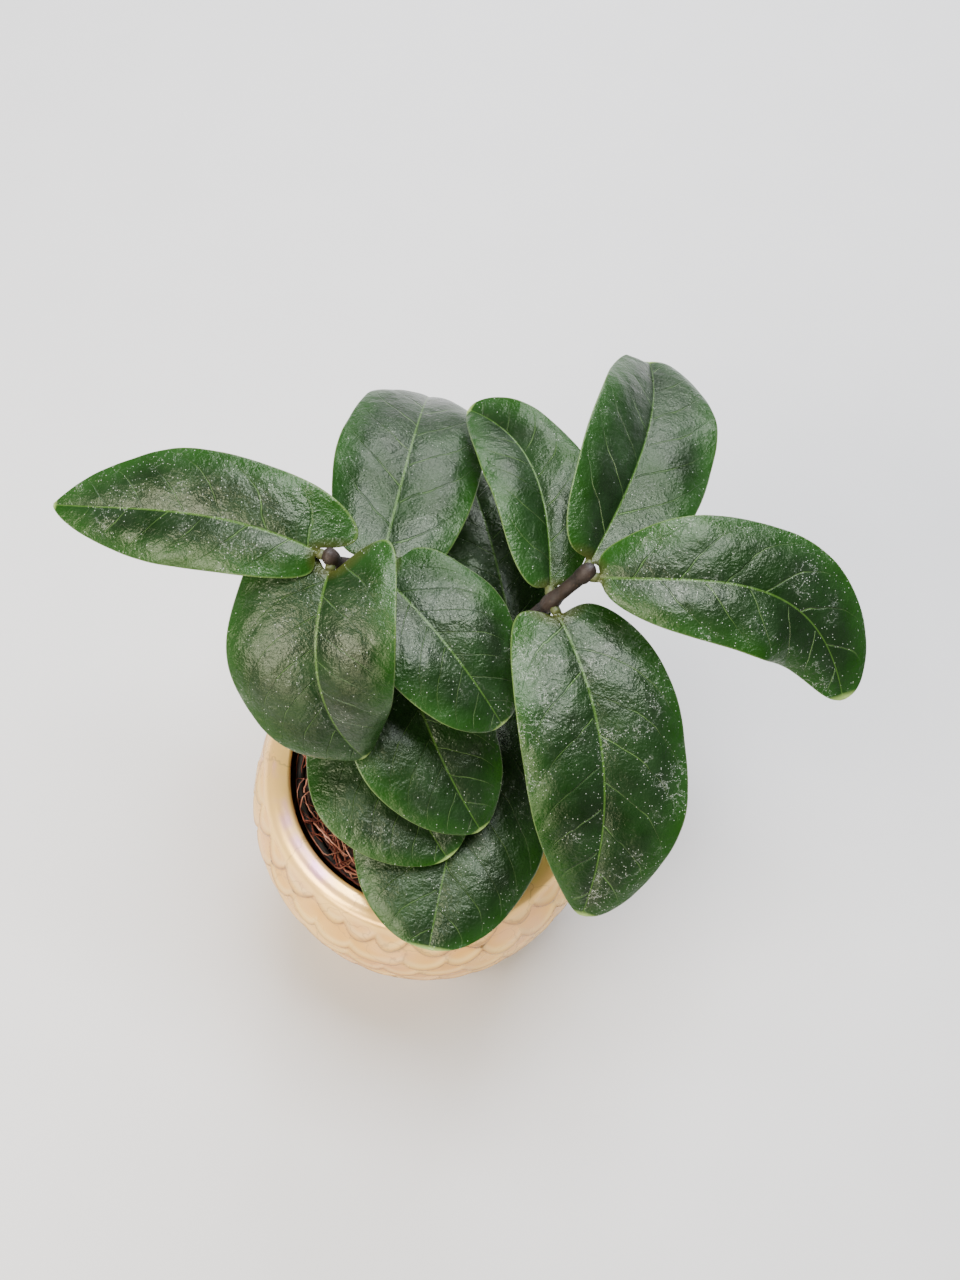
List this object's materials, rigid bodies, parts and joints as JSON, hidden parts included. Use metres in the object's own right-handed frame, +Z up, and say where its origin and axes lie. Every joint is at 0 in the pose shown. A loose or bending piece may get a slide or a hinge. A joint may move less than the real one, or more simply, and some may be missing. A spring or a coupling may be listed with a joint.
{
  "type": "potted zz plant",
  "caption": "Small houseplant with broad glossy dark green leaves on short brown stems, in a dark plastic nursery pot inside a round cream glazed ceramic cover pot.",
  "frame": {"origin": "centre of the cover pot's foot, on the surface it stands on", "axes": "+Z up; the front, where the largest leaves hang over the rim, faces -Y; the left stem is towards -X"},
  "size_m": [0.2584, 0.1967, 0.2106],
  "materials": {
    "pearl_glaze": "gloss, cream with a pearl sheen",
    "nursery_plastic": "matte, moulded polypropylene",
    "potting_mix": "matte, fibrous, damp",
    "stem": "satin, brown bark",
    "leaf": "gloss, waxy dark green",
    "coir": "matte, dry fibre"
  },
  "bodies": {
    "root": {"ceramic_pot": "pearl_glaze", "nursery_pot": "nursery_plastic", "potting_mix": "potting_mix", "left_stem": "stem", "right_stem": "stem", "left_leaf_1": "leaf", "left_leaf_2": "leaf", "left_leaf_3": "leaf", "left_leaf_4": "leaf", "left_leaf_5": "leaf", "left_leaf_6": "leaf", "right_leaf_1": "leaf", "right_leaf_2": "leaf", "right_leaf_3": "leaf", "right_leaf_4": "leaf", "right_leaf_5": "leaf", "right_leaf_6": "leaf", "coir_strand_1": "coir", "coir_strand_2": "coir", "coir_strand_3": "coir", "coir_strand_4": "coir", "coir_strand_5": "coir"}
  },
  "joints": []
}
